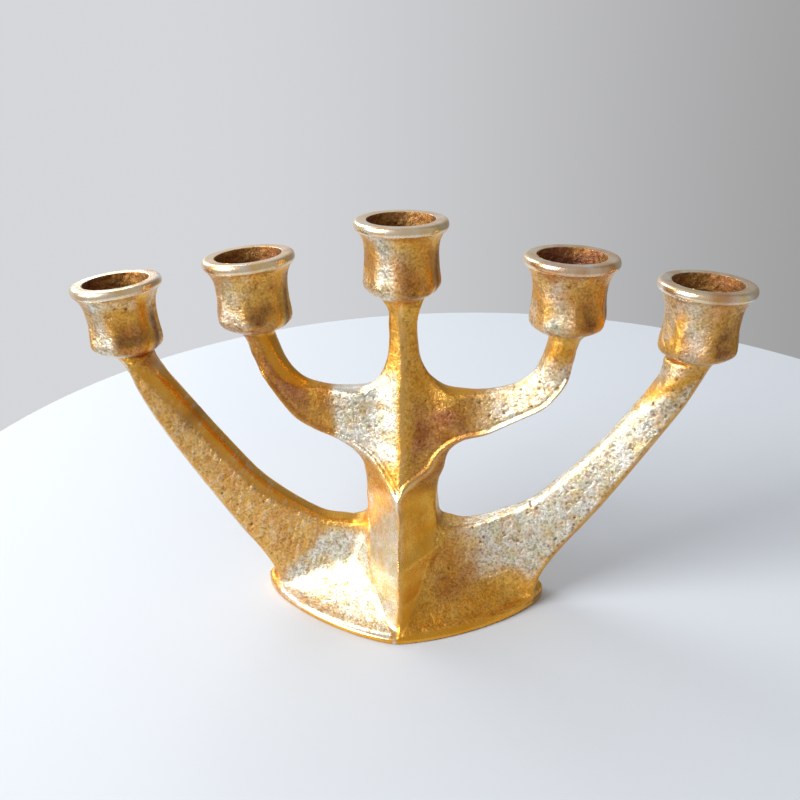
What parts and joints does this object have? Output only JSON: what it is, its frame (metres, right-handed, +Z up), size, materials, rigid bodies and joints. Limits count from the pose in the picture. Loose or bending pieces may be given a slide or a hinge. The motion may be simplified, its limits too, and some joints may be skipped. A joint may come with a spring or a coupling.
{
  "type": "candle menorah",
  "caption": "Free-standing cast bronze candelabrum with a ridged pillar, curved arms and flared candle cups on a pointed oval foot.",
  "frame": {"origin": "on the table, under the pillar's axis, in the plane that the cups stand in", "axes": "+X to the right along the row of cups, -Y towards the front ridge, +Z up"},
  "size_m": [0.24, 0.07, 0.1521],
  "materials": {
    "bronze": "sand cast and hand chased golden bronze, rough and pitted on the faces, rubbed smooth on rims, ridges and edges",
    "steel": "plain turned steel",
    "felt": "dense green wool felt"
  },
  "bodies": {
    "root": {"felt_pad": "felt", "foot": "bronze", "foot_screws": "steel", "pillar": "bronze", "lower_arm_left": "bronze", "lower_arm_right": "bronze", "upper_arm_left": "bronze", "upper_arm_right": "bronze", "lower_dowels_left": "steel", "lower_dowels_right": "steel", "upper_dowels_left": "steel", "upper_dowels_right": "steel", "cup_outer_left": "bronze", "cup_inner_left": "bronze", "cup_centre": "bronze", "cup_inner_right": "bronze", "cup_outer_right": "bronze", "cup_screw_outer_left": "steel", "cup_screw_inner_left": "steel", "cup_screw_centre": "steel", "cup_screw_inner_right": "steel", "cup_screw_outer_right": "steel"}
  },
  "joints": []
}
